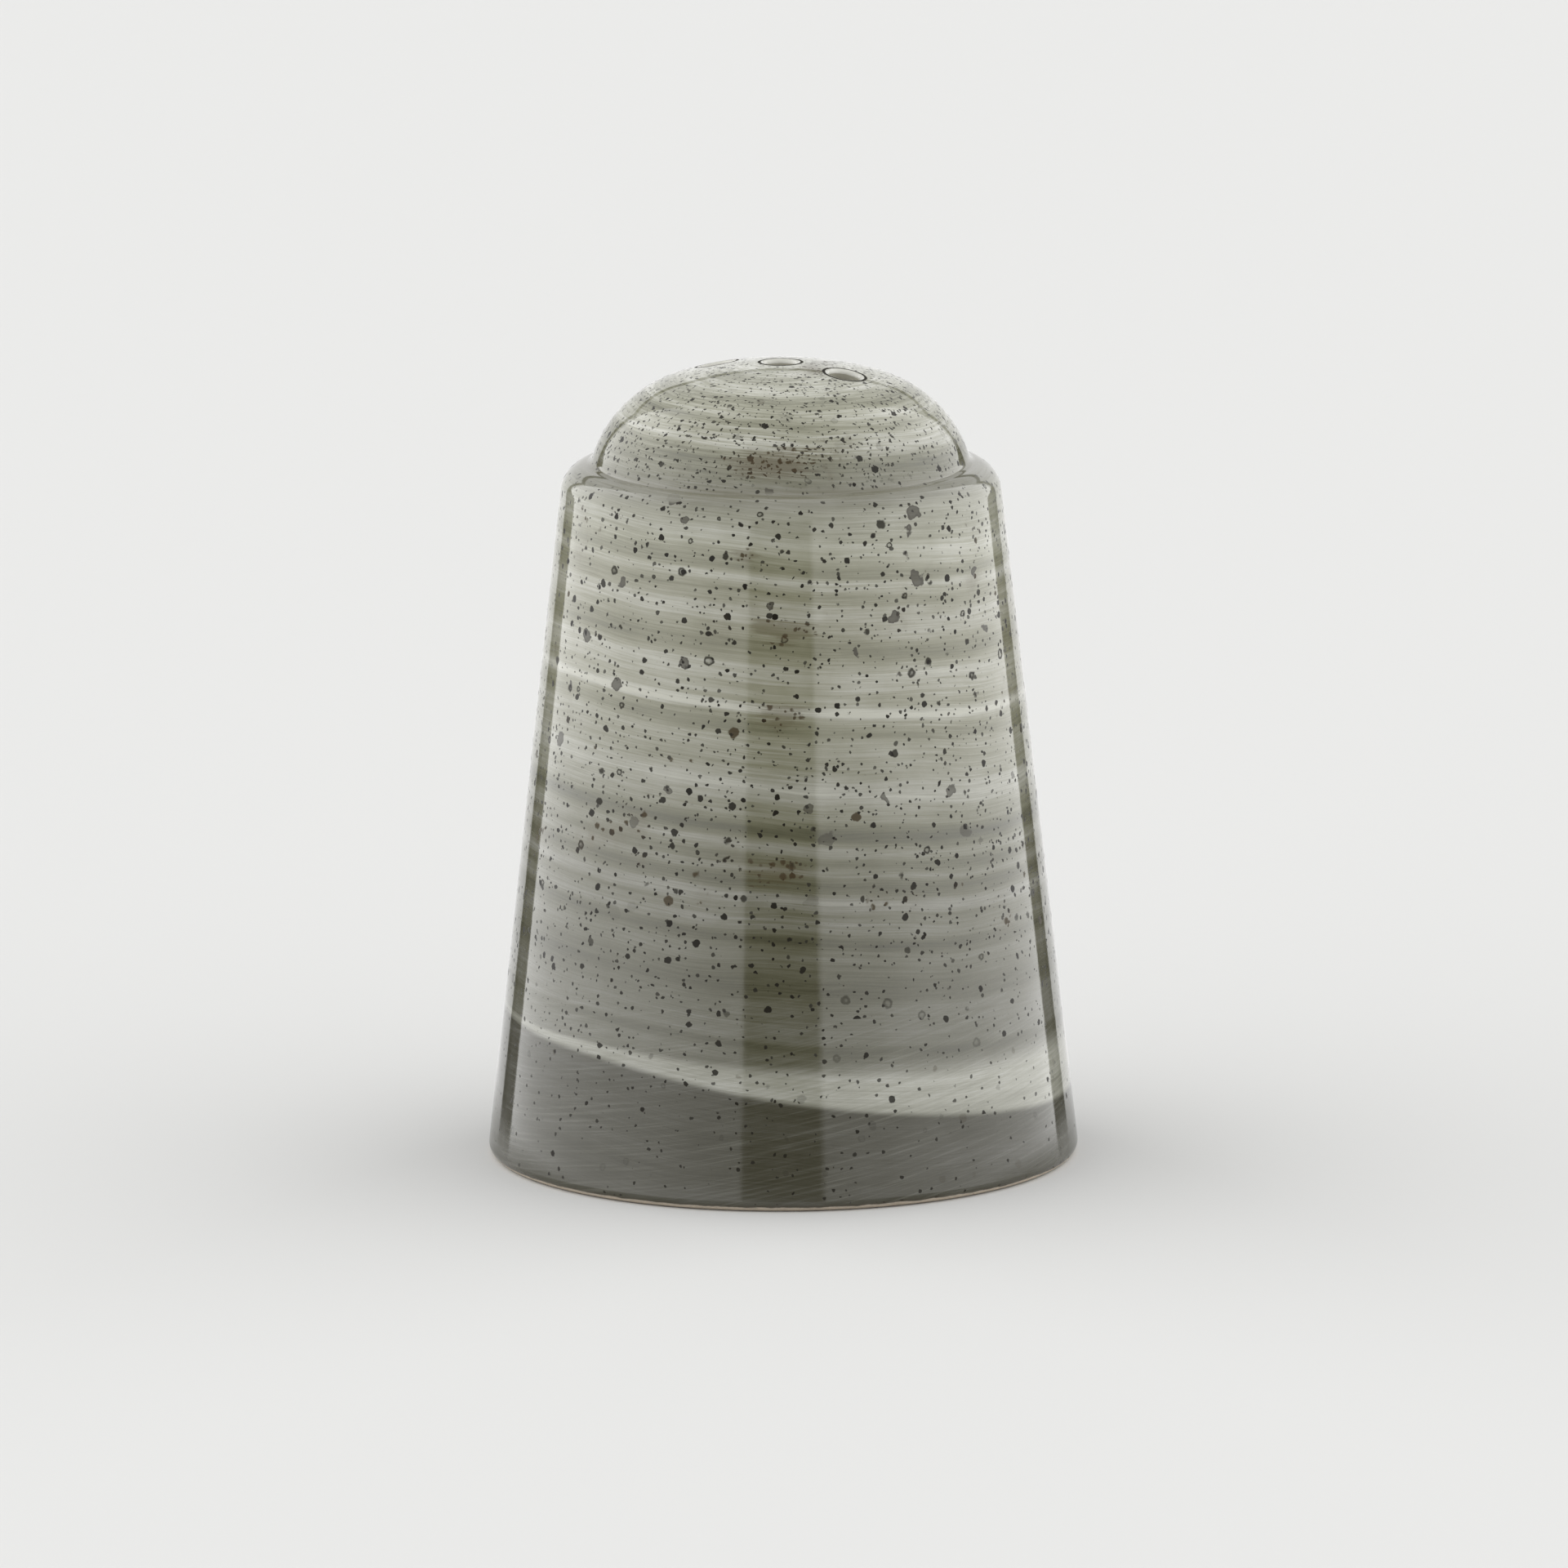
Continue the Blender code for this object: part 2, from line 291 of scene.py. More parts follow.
def stopperProfile(s, hole):
    ribRadius = hole["fillRadius"] - s["clearance"]
    plugRadius = ribRadius - s["ribDepth"]
    hollow = plugRadius - s["plugWall"]
    flangeRadius = hole["fillRadius"] + s["flangeOverlap"]
    flangeTop = hole["recessDepth"] - s["clearance"]
    flangeBottom = flangeTop - s["flangeThickness"]
    plugTop = hole["recessDepth"] + hole["baseThickness"] + s["plugReach"]
    web = flangeBottom + s["webThickness"]
    soft = s["plugWall"] / 4
    corners = [
        (0, web, 0),
        (hollow, web, s["webRound"]),
        (hollow, plugTop, soft),
        (plugRadius - s["leadIn"] / 2, plugTop, soft),
        (plugRadius, plugTop - s["leadIn"], soft),
    ]
    for i in range(s["ribCount"]):
        height = hole["recessDepth"] + hole["baseThickness"] * (s["ribCount"] - i) / (s["ribCount"] + 1)
        corners += [
            (plugRadius, height + s["ribWidth"] / 2, s["ribDepth"] / 4),
            (ribRadius, height, s["ribDepth"] / 2),
            (plugRadius, height - s["ribWidth"] / 2, s["ribDepth"] / 4),
        ]
    corners += [
        (plugRadius, flangeTop, s["flangeRound"]),
        (flangeRadius, flangeTop, s["flangeRound"]),
        (flangeRadius, flangeBottom, s["flangeRound"]),
        (s["grooveRadius"] + s["grooveWidth"] / 2, flangeBottom, s["grooveDepth"] / 2),  # moulded ring
        (s["grooveRadius"] + s["grooveWidth"] / 4, flangeBottom + s["grooveDepth"], s["grooveDepth"] / 2),
        (s["grooveRadius"] - s["grooveWidth"] / 4, flangeBottom + s["grooveDepth"], s["grooveDepth"] / 2),
        (s["grooveRadius"] - s["grooveWidth"] / 2, flangeBottom, s["grooveDepth"] / 2),
        (s["gateRadius"], flangeBottom, s["gateDepth"] / 2),  # shallow dish of the moulding gate
        (s["gateRadius"] * 0.8, flangeBottom + s["gateDepth"], s["gateDepth"] / 2),
        (0, flangeBottom + s["gateDepth"], 0),
    ]
    return roundCorners(corners)


def makeStopper(s, hole):
    stopper = turnProfile("baseStopper", stopperProfile(s, hole), s["steps"])
    half = s["tabWidth"] / 2
    end = hole["fillRadius"] + s["flangeOverlap"] + s["tabReach"] - half
    low = hole["recessDepth"] - s["clearance"] - s["flangeThickness"] / 2 - s["tabThickness"] / 2
    bpy.ops.object.select_all(action="DESELECT")
    bpy.ops.mesh.primitive_circle_add(vertices=96, radius=half, fill_type="NGON", location=(end, 0, low))
    tab = bpy.context.object
    bpy.ops.object.transform_apply(location=True, rotation=False, scale=False)
    for vert in tab.data.vertices:
        vert.select = vert.co.x < end - 1e-5
    for part in (*tab.data.edges, *tab.data.polygons):
        part.select = False
    bpy.ops.object.mode_set(mode="EDIT")
    bpy.ops.mesh.select_mode(type="VERT")
    bpy.ops.transform.translate(value=(half - end, 0, 0))  # the inner half goes under the flange
    bpy.ops.mesh.select_all(action="SELECT")
    bpy.ops.mesh.extrude_region_move(TRANSFORM_OT_translate={"value": (0, 0, s["tabThickness"])})
    bpy.ops.mesh.select_all(action="SELECT")
    bpy.ops.mesh.normals_make_consistent(inside=False)
    bpy.ops.mesh.select_mode(type="EDGE")
    bpy.ops.mesh.select_all(action="DESELECT")
    bpy.ops.object.mode_set(mode="OBJECT")
    for edge in tab.data.edges:  # both rims, not the upright edges
        a, b = (tab.data.vertices[i].co for i in edge.vertices)
        edge.select = abs(a.z - b.z) < 1e-5
    bpy.ops.object.mode_set(mode="EDIT")
    bpy.ops.mesh.bevel(offset=s["tabRound"], segments=4, profile=0.5, affect="EDGES")
    bpy.ops.mesh.select_mode(type="VERT")
    bpy.ops.object.mode_set(mode="OBJECT")
    bpy.ops.object.shade_smooth()
    joinShapes(stopper, tab, "UNION")
    softenNormals(stopper)
    return stopper


baseStopper = makeStopper(stopperSizes, bodySizes)
print("stopper turned:", len(baseStopper.data.polygons), "faces")


# speckled glaze, lengths in millimetres

glazeLook = {
    "wallFoot": 29.6, "wallSlope": 0.114, "inward": 0.6,  # the wall's line, and how the level climbs inwards from it
    "brushLean": 0.08, "brushAzimuth": 28,  # brush rings run down towards this side
    "tintAndShade": [  # up the wall, then in over ledge and dome; glaze colour with painted shade that darkens it towards the foot
        (0, (0.105, 0.103, 0.072)), (22, (0.108, 0.105, 0.071)), (33, (0.147, 0.144, 0.099)),
        (41, (0.208, 0.206, 0.147)), (50, (0.246, 0.243, 0.173)), (59, (0.240, 0.236, 0.167)),
        (65, (0.290, 0.289, 0.215)), (68.3, (0.248, 0.247, 0.187)), (69.8, (0.188, 0.185, 0.142)),
        (70.8, (0.180, 0.175, 0.127)), (71.6, (0.150, 0.143, 0.099)), (72.4, (0.165, 0.162, 0.113)),
        (77, (0.262, 0.260, 0.190)), (82, (0.345, 0.344, 0.267)), (100, (0.385, 0.385, 0.315)),
    ],
    "strokes": [  # brush rings: height and tone
        (0, 1), (15.4, 1), (16.5, 0.8), (17.3, 1.12), (20.3, 1.06), (21.8, 0.82), (25.2, 1.08),
        (26.7, 0.76), (28, 1.15), (29.4, 0.95), (30.6, 1.3), (32.4, 0.8), (33.5, 1.1), (34.4, 0.85),
        (35.6, 1.14), (37.3, 0.62), (38.9, 1.0), (41.5, 1.22), (44.0, 1.0), (45.9, 1.1), (47.3, 0.82),
        (48.4, 0.97), (49.1, 1.45), (50, 1.0), (53, 1.2), (54.9, 0.8), (58.3, 1.15), (60.6, 0.85),
        (61.9, 1.2), (62.7, 0.83), (65.5, 1.15), (68, 1.0),
    ],
    "domeStrokes": [
        (70, 1), (73.2, 1.0), (74.6, 0.78), (75.6, 0.8), (77.0, 1.16), (78.6, 1.1), (79.8, 0.84),
        (81, 1.14), (83, 0.86), (85, 1.1), (87, 0.9), (89, 1.1), (92, 0.92), (95, 1.06), (100, 1),
    ],
    "strokePower": 1.6, "toneRange": (0.4, 1.8),
    "streaks": {  # brush marks: length, thickness, detail, roughness
        "fine": (13, 0.34, 3, 0.65), "hair": (7, 0.13, 2, 0.6), "broad": (34, 2.4, 2, 0.5),
        "cross": (12, 0.32, 3, 0.65),
    },
    "depths": {"streak": 0.9, "hair": 0.65, "broad": 0.9, "cloud": 0.55, "combed": 0.9, "scratch": 0.17},
    "sweep": (14.0, -0.06, 11.2, -0.147),  # light stroke near the foot: upper edge and slope, lower edge and slope
    "sweepTint": (0.305, 0.305, 0.252), "footTint": (0.066, 0.063, 0.044), "baseTint": (0.150, 0.147, 0.108),
    "speck": (0.009, 0.007, 0.004), "brown": (0.046, 0.031, 0.014), "disc": (0.058, 0.053, 0.041),
    "specks": {  # cell, smallest and largest radius, share of the cells, seed
        "disc": (4.3, 0.5, 1.0, 0.9, 1), "ring": (2.8, 0.34, 0.66, 0.85, 2), "medium": (1.45, 0.19, 0.43, 0.8, 3),
        "small": (0.70, 0.11, 0.25, 0.95, 4), "dust": (0.52, 0.11, 0.2, 0.7, 8),
        "fleck": (0.95, 0.18, 0.42, 1.2, 9), "mark": (3.2, 0.1, 0.24, 0.3, 5), "clay": (1.3, 0.06, 0.2, 0.7, 7),
    },
    "rust": (0.088, 0.071, 0.034), "rustOnWall": 0.4, "rustOnDome": 0.3,  # colour, cover, and more cover on the dome
    "rustSpots": [  # across, height, half width, half height
        (-0.8, 75.0, 5.0, 1.5), (-3.6, 64.4, 1.6, 0.7), (-1.6, 57.6, 1.3, 0.9), (0.6, 57.0, 2.2, 1.4),
        (0.0, 48.5, 2.6, 1.2), (-0.6, 33.5, 3.0, 1.3),
    ],
    "rim": (0.60, 0.595, 0.54), "rimEdge": (2.0, 1.85), "holeLine": (1.94, 2.02, 2.32, 2.24),  # round each hole
    "biscuit": (0.52, 0.45, 0.36), "grime": (0.30, 0.25, 0.19), "claySpeck": (0.16, 0.10, 0.055),
    "dipped": (25.6, 24.8, 7.6, 7.2),  # the recess: radius and height where its glaze ends
    "bareEdge": (0.72, 0.56), "ior": 1.72, "shine": 0.5, "footShine": -0.2, "speckShine": -0.80,
}


def speckLayer(tree, place, cell, small, large, share, seed):
    # round spots of mixed size, one in each cell that takes its share
    shifted = vec(tree, "ADD", place, (seed * 17.3, seed * 5.1, seed * 29.7))
    cells = addNode(tree, "TexVoronoi", {"Vector": shifted, "Scale": 1 / cell})
    pick = addNode(tree, "SeparateColor", {"Color": cells.outputs["Color"]}).outputs
    away = calc(tree, "MULTIPLY", cells.outputs["Distance"], cell)
    size = calc(tree, "MULTIPLY_ADD", calc(tree, "POWER", pick[0], 2.0), large - small, small)
    # thicker in some places
    crowd = calc(tree, "MULTIPLY_ADD", noise(tree, shifted, 0.12, 2), 1.6 * share, 0.2 * share)
    size = calc(tree, "MULTIPLY", size, calc(tree, "LESS_THAN", pick[1], crowd))
    return away, size, pick[2]


def spot(tree, away, size, inner=0.85):
    return fade(tree, away, size, calc(tree, "MULTIPLY", size, inner))


def makeGlaze(look, sizes):
    depths, specks = look["depths"], look["specks"]
    material, tree, shader = newMaterial("speckledGlaze")
    place = vec(tree, "SCALE", addNode(tree, "TexCoord").outputs["Object"])
    place.node.inputs["Scale"].default_value = 1000
    x, y, z = addNode(tree, "SeparateXYZ", {"Vector": place}).outputs
    flat = addNode(tree, "CombineXYZ", {"X": x, "Y": y}).outputs[0]
    radius = vec(tree, "LENGTH", flat)
    # height on the wall, running on inwards over ledge and dome
    inward = look["inward"]
    fromWall = calc(tree, "MULTIPLY_ADD", radius, -inward, inward * look["wallFoot"])
    level = calc(tree, "MULTIPLY_ADD", z, 1 - inward * look["wallSlope"], fromWall)
    turn = math.radians(look["brushAzimuth"])
    side = vec(tree, "DOT_PRODUCT", place, (math.cos(turn), math.sin(turn), 0))
    drift = calc(tree, "MULTIPLY_ADD", noise(tree, place, 0.03, 1), 1.6, -0.8)
    along = calc(tree, "ADD", level, drift)
    leaning = calc(tree, "MULTIPLY_ADD", side, look["brushLean"], along)
    around = vec(tree, "NORMALIZE", flat)

    def brushed(height, length, thickness, detail, roughness):
        # noise drawn out along the brush rings
        ring = vec(tree, "SCALE", around)
        ring.node.inputs["Scale"].default_value = 25 / length
        lift = addNode(tree, "CombineXYZ", {"Z": calc(tree, "MULTIPLY", height, 1 / thickness)}).outputs[0]
        return noise(tree, vec(tree, "ADD", ring, lift), 1.0, detail, roughness)

    wander = calc(tree, "MULTIPLY_ADD", noise(tree, place, 0.06, 1), 1.5, leaning)
    fine = brushed(wander, *look["streaks"]["fine"])
    hair = brushed(wander, *look["streaks"]["hair"])
    broad = brushed(leaning, *look["streaks"]["broad"])
    cross = brushed(calc(tree, "MULTIPLY_ADD", side, -0.22, along), *look["streaks"]["cross"])
    cloud = noise(tree, place, 0.16, 4, 0.6)

    shift = addNode(tree, "Mix", {"Factor": fade(tree, level, 63, 67)})  # rings lie level from the shoulder up
    plug(tree, leaning, shift.inputs[2])
    plug(tree, level, shift.inputs[3])
    # glaze colour, with painted shade darkening it towards the foot
    tintAndShade = ramp(tree, calc(tree, "MULTIPLY", shift.outputs[0], 0.01), [(h / 100, c) for h, c in look["tintAndShade"]])
    strokes = [(h / 70, (t / 2, t / 2, t / 2)) for h, t in look["strokes"]]
    stroke = calc(tree, "MULTIPLY", ramp(tree, calc(tree, "DIVIDE", leaning, 70), strokes, "EASE"), 2)
    strokes = [((h - 70) / 30, (t / 2, t / 2, t / 2)) for h, t in look["domeStrokes"]]
    onDome = calc(tree, "MULTIPLY_ADD", leaning, 1 / 30, -70 / 30)
    stroke = calc(tree, "MULTIPLY", stroke, calc(tree, "MULTIPLY", ramp(tree, onDome, strokes, "EASE"), 2))
    # the light sweep thins out towards its start, and the glaze is dark and calm under it
    upper, upperSlope, lower, lowerSlope = look["sweep"]
    overTop = calc(tree, "SUBTRACT", along, calc(tree, "MULTIPLY_ADD", side, upperSlope, upper))
    overLow = calc(tree, "SUBTRACT", along, calc(tree, "MULTIPLY_ADD", side, lowerSlope, lower))
    under = fade(tree, overLow, 0.5, -0.5)
    onRight = fade(tree, side, -20, 14)
    soft = calc(tree, "DIVIDE", overTop, calc(tree, "MULTIPLY_ADD", onRight, 1.3, 0.3))
    sweep = calc(tree, "MULTIPLY", fade(tree, soft, 1.0, -0.7), fade(tree, overLow, -0.4, 0.4))
    tintAndShade = blend(tree, under, tintAndShade, (*look["footTint"], 1))
    sweep = calc(tree, "MULTIPLY", sweep, calc(tree, "MULTIPLY_ADD", onRight, 0.3, 0.7))
    tintAndShade = blend(tree, sweep, tintAndShade, (*look["sweepTint"], 1))
    low = fade(tree, along, 26, 13)
    streak = addNode(tree, "Mix", {"Factor": calc(tree, "MULTIPLY", low, 0.75)})
    plug(tree, fine, streak.inputs[2])
    plug(tree, cross, streak.inputs[3])
    tone = calc(tree, "POWER", stroke, look["strokePower"])
    patchy = calc(tree, "MULTIPLY_ADD", fade(tree, noise(tree, place, 0.09, 2), 0.35, 0.65), 0.7, 0.45)
    hair = calc(tree, "MULTIPLY_ADD", calc(tree, "SUBTRACT", hair, 0.5), patchy, 0.5)
    grains = {"streak": streak.outputs[0], "hair": hair, "broad": broad, "cloud": cloud}
    for name, grain in grains.items():
        shade = calc(tree, "MULTIPLY_ADD", grain, depths[name], 1 - depths[name] / 2)
        tone = calc(tree, "MULTIPLY", tone, shade)
    dome = fade(tree, level, 71.5, 74)
    combed = calc(tree, "MULTIPLY", calc(tree, "SUBTRACT", fine, 0.5), dome)  # the dome shows the bristles more
    tone = calc(tree, "MULTIPLY", tone, calc(tree, "MULTIPLY_ADD", combed, depths["combed"], 1))
    darkest, lightest = look["toneRange"]
    tone = calc(tree, "MINIMUM", calc(tree, "MAXIMUM", tone, darkest), lightest)
    colour = vec(tree, "SCALE", tintAndShade)
    plug(tree, tone, colour.node.inputs["Scale"])
    scratch = calc(tree, "MULTIPLY", fade(tree, cross, 0.5, 0.78), low)
    scratch = calc(tree, "MULTIPLY", scratch, depths["scratch"])
    colour = blend(tree, scratch, colour, (*look["sweepTint"], 1))
    # light strokes are greyer, dark ones more olive
    grey = calc(tree, "MULTIPLY_ADD", fade(tree, tone, 0.5, 1.6), -0.75, 1.28)
    colour = addNode(tree, "HueSaturation", {"Color": colour, "Saturation": grey}).outputs["Color"]

    # the recess under the foot is dipped, not brushed
    base = calc(tree, "MULTIPLY", fade(tree, radius, *look["dipped"][:2]), fade(tree, z, *look["dipped"][2:]))
    dipped = vec(tree, "SCALE", look["baseTint"])
    plug(tree, calc(tree, "MULTIPLY_ADD", cloud, 1.2, 0.4), dipped.node.inputs["Scale"])
    colour = blend(tree, base, colour, dipped)

    # rusty tints, then specks from large to small
    rust = fade(tree, noise(tree, place, 0.11, 4, 0.6), 0.58, 0.74)
    rust = calc(tree, "MULTIPLY", rust, fade(tree, along, 10, 24))
    toCamera = vec(tree, "DOT_PRODUCT", place, (math.sin(turn), -math.cos(turn), 0))
    front = fade(tree, toCamera, 0, 4)
    ripple = noise(tree, place, 0.6, 4, 0.65)
    frayed = calc(tree, "MULTIPLY_ADD", ripple, 0.9, calc(tree, "MULTIPLY_ADD", fine, 2.8, -1.85))
    for spotSide, spotHeight, spotWidth, spotTall in look["rustSpots"]:
        offSide = calc(tree, "DIVIDE", calc(tree, "SUBTRACT", side, spotSide), spotWidth)
        offHeight = calc(tree, "DIVIDE", calc(tree, "SUBTRACT", level, spotHeight), spotTall)
        off = vec(tree, "LENGTH", addNode(tree, "CombineXYZ", {"X": offSide, "Y": offHeight}).outputs[0])
        stain = calc(tree, "MULTIPLY", fade(tree, calc(tree, "ADD", off, frayed), 1.2, 0.5), front)
        rust = calc(tree, "MAXIMUM", rust, stain)
    cover = calc(tree, "MULTIPLY_ADD", dome, look["rustOnDome"], look["rustOnWall"])
    colour = blend(tree, calc(tree, "MULTIPLY", rust, cover), colour, (*look["rust"], 1))
    iron = blend(tree, rust, (*look["speck"], 1), (*look["brown"], 1))
    ragged = addNode(tree, "TexNoise", {"Vector": place, "Scale": 1.5, "Detail": 2}).outputs["Color"]
    ragged = vec(tree, "MULTIPLY_ADD", ragged, (0.45, 0.45, 0.45), place)
    chipped = addNode(tree, "TexNoise", {"Vector": place, "Scale": 3.0, "Detail": 1}).outputs["Color"]
    chipped = vec(tree, "SCALE", chipped)
    plug(tree, calc(tree, "MULTIPLY_ADD", dome, 0.32, 0.08), chipped.node.inputs["Scale"])
    ragged = vec(tree, "ADD", chipped, ragged)  # specks on the dome are less round
    rough = addNode(tree, "TexNoise", {"Vector": place, "Scale": 0.8, "Detail": 3}).outputs["Color"]
    rough = vec(tree, "MULTIPLY_ADD", rough, (1.5, 1.5, 1.5), place)
    ledge = calc(tree, "MULTIPLY", fade(tree, level, 69.2, 69.8), fade(tree, level, 72.0, 71.5))
    # foot and ledge are calm, and the dome has finer specks
    busy = calc(tree, "MULTIPLY", fade(tree, along, 4, 36), calc(tree, "MULTIPLY_ADD", ledge, -0.8, 1))
    coarse = calc(tree, "MULTIPLY", busy, calc(tree, "MULTIPLY_ADD", dome, -0.85, 1))

    # large grey discs, darker at the rim
    away, size, chance = speckLayer(tree, rough, *specks["disc"])
    high = calc(tree, "MULTIPLY", fade(tree, along, 22, 45), coarse)
    disc = calc(tree, "MULTIPLY", spot(tree, away, size, 0.88), high)
    rim = fade(tree, away, calc(tree, "MULTIPLY", size, 0.6), calc(tree, "MULTIPLY", size, 0.85))
    cover = calc(tree, "MULTIPLY", disc, calc(tree, "MULTIPLY_ADD", rim, 0.12, 0.83))
    colour = blend(tree, cover, colour, (*look["disc"], 1))

    # specks with a pale heart, some of them brown
    away, size, chance = speckLayer(tree, ragged, *specks["ring"])
    heart = spot(tree, away, calc(tree, "MULTIPLY", size, 0.62), 0.5)
    heart = calc(tree, "MULTIPLY", heart, calc(tree, "GREATER_THAN", chance, 0.35))
    ring = calc(tree, "MULTIPLY_ADD", heart, -0.75, spot(tree, away, size, 0.75), clamp=True)
    ring = calc(tree, "MULTIPLY", ring, calc(tree, "MULTIPLY_ADD", coarse, 0.8, 0.2))
    browned = blend(tree, calc(tree, "LESS_THAN", chance, 0.22), iron, (*look["brown"], 1))
    colour = blend(tree, calc(tree, "MULTIPLY", ring, 0.88), colour, browned)

    # plain dark specks
    away, size, chance = speckLayer(tree, ragged, *specks["medium"])
    kept = calc(tree, "LESS_THAN", chance, calc(tree, "ADD", busy, 0.12))
    medium = calc(tree, "MULTIPLY", spot(tree, away, size), kept)
    medium = calc(tree, "MULTIPLY", medium, calc(tree, "MULTIPLY_ADD", chance, 0.08, 0.92))
    kept = calc(tree, "LESS_THAN", chance, calc(tree, "MULTIPLY_ADD", dome, -0.5, 1))
    medium = calc(tree, "MULTIPLY", medium, kept)
    colour = blend(tree, medium, colour, iron)

    away, size, chance = speckLayer(tree, ragged, *specks["small"])
    kept = calc(tree, "LESS_THAN", chance, calc(tree, "ADD", busy, 0.3))
    small = calc(tree, "MULTIPLY", spot(tree, away, size, 0.78), kept)
    small = calc(tree, "MULTIPLY", small, calc(tree, "MULTIPLY_ADD", chance, 0.22, 0.78))
    colour = blend(tree, small, colour, iron)

    # on the dome a dust of tiny specks, and rusty flecks where the glaze is stained
    away, size, chance = speckLayer(tree, ragged, *specks["dust"])
    dust = calc(tree, "MULTIPLY", spot(tree, away, size), dome)
    colour = blend(tree, calc(tree, "MULTIPLY", dust, 0.9), colour, iron)
    away, size, chance = speckLayer(tree, ragged, *specks["fleck"])
    fleck = calc(tree, "MULTIPLY", spot(tree, away, size, 0.6), fade(tree, rust, 0.1, 0.4))
    colour = blend(tree, calc(tree, "MULTIPLY", fleck, 0.85), colour, (*look["brown"], 1))

    # short marks drawn out by the brush
    angle = calc(tree, "ARCTAN2", y, x)
    unrolled = calc(tree, "MULTIPLY", angle, 25 / 3.4)
    strip = addNode(tree, "CombineXYZ", {"X": unrolled, "Y": leaning}).outputs[0]
    bent = addNode(tree, "TexNoise", {"Vector": place, "Scale": 1.1, "Detail": 2}).outputs["Color"]
    strip = vec(tree, "MULTIPLY_ADD", bent, (0.5, 0.5, 0), strip)
    away, size, chance = speckLayer(tree, strip, *specks["mark"])
    mark = calc(tree, "MULTIPLY", spot(tree, away, size, 0.4), busy)
    mark = calc(tree, "MULTIPLY", mark, fade(tree, calc(tree, "ABSOLUTE", angle), 3.1, 2.95))  # none at the seam
    colour = blend(tree, calc(tree, "MULTIPLY", mark, 0.75), colour, (*look["brown"], 1))

    # the glaze breaks pale over the rims of the holes, inside a dark line
    crownHeight = (sizes["shoulderHeight"] + sizes["domeRise"] - sizes["crownRadius"]) * 1000
    mirrored, overCrown = calc(tree, "ABSOLUTE", x), calc(tree, "SUBTRACT", z, crownHeight)
    folded = addNode(tree, "CombineXYZ", {"X": mirrored, "Y": y, "Z": overCrown}).outputs[0]
    tilt = math.asin(sizes["holePlaces"][-1] / sizes["crownRadius"])
    apart = vec(tree, "LENGTH", vec(tree, "CROSS_PRODUCT", folded, (math.sin(tilt), 0, math.cos(tilt))))
    nearest = calc(tree, "MINIMUM", radius, apart)
    pale = calc(tree, "MULTIPLY", fade(tree, nearest, *look["rimEdge"]), fade(tree, z, 73, 75))
    colour = blend(tree, calc(tree, "MULTIPLY", pale, 0.9), colour, (*look["rim"], 1))
    lineIn, lineOut = look["holeLine"][:2], look["holeLine"][2:]
    outline = calc(tree, "MULTIPLY", fade(tree, nearest, *lineIn), fade(tree, nearest, *lineOut))
    outline = calc(tree, "MULTIPLY", outline, fade(tree, z, 73, 75))
    colour = blend(tree, calc(tree, "MULTIPLY", outline, 0.95), colour, (*look["speck"], 1))

    # wiped foot, bare clay under the ring
    wiped = calc(tree, "MULTIPLY_ADD", noise(tree, place, 0.5, 3), 0.35, z)
    bare = fade(tree, wiped, *look["bareEdge"])
    clay = vec(tree, "SCALE", look["biscuit"])
    grit = calc(tree, "MULTIPLY_ADD", noise(tree, place, 3.0, 4, 0.7), 0.5, 0.72)
    plug(tree, grit, clay.node.inputs["Scale"])
    grime = fade(tree, noise(tree, place, 0.45, 5, 0.65), 0.5, 0.75)
    clay = blend(tree, calc(tree, "MULTIPLY", grime, 0.55), clay, (*look["grime"], 1))
    away, size, chance = speckLayer(tree, place, *specks["clay"])
    claySpeck = calc(tree, "MULTIPLY", spot(tree, away, size, 0.5), 0.7)
    clay = blend(tree, claySpeck, clay, (*look["claySpeck"], 1))
    # the glaze pulls thin at its edge
    edge = calc(tree, "MULTIPLY", fade(tree, wiped, 0.56, 0.7), fade(tree, wiped, 1.05, 0.8))
    colour = blend(tree, calc(tree, "MULTIPLY", edge, 0.25), colour, (*look["brown"], 1))
    colour = blend(tree, bare, colour, clay)
    plug(tree, colour, shader.inputs["Base Color"])

    # roughness, shine and relief
    dark = calc(tree, "MAXIMUM", calc(tree, "MAXIMUM", medium, outline), calc(tree, "MAXIMUM", ring, small))
    dark = calc(tree, "MAXIMUM", dark, calc(tree, "MAXIMUM", dust, fleck))
    gloss = calc(tree, "MULTIPLY_ADD", cloud, 0.06, 0.02)
    gloss = calc(tree, "MULTIPLY_ADD", dark, 0.3, gloss)
    gloss = calc(tree, "MULTIPLY_ADD", outline, 0.5, gloss)
    gloss = calc(tree, "MULTIPLY_ADD", bare, 0.75, gloss, clamp=True)
    plug(tree, gloss, shader.inputs["Roughness"])
    # specks burn through the shine, and the dark foot has less of it
    burnt = calc(tree, "MAXIMUM", dark, calc(tree, "MULTIPLY", disc, 0.75))
    dull = calc(tree, "MULTIPLY_ADD", burnt, look["speckShine"], 1)
    shine = calc(tree, "MULTIPLY", dull, calc(tree, "MULTIPLY_ADD", under, look["footShine"], look["shine"]))
    plug(tree, shine, shader.inputs["Specular IOR Level"])
    waves = calc(tree, "MULTIPLY", noise(tree, place, 0.9, 2), 0.6)
    relief = calc(tree, "MULTIPLY_ADD", fine, 0.5, waves)
    relief = calc(tree, "MULTIPLY_ADD", dark, -0.35, relief)
    bump = addNode(tree, "Bump", {"Height": relief, "Strength": 0.3, "Distance": 0.00002})
    plug(tree, bump.outputs["Normal"], shader.inputs["Normal"])
    shader.inputs["IOR"].default_value = look["ior"]
    return material


# pale liner glaze of the salt chamber

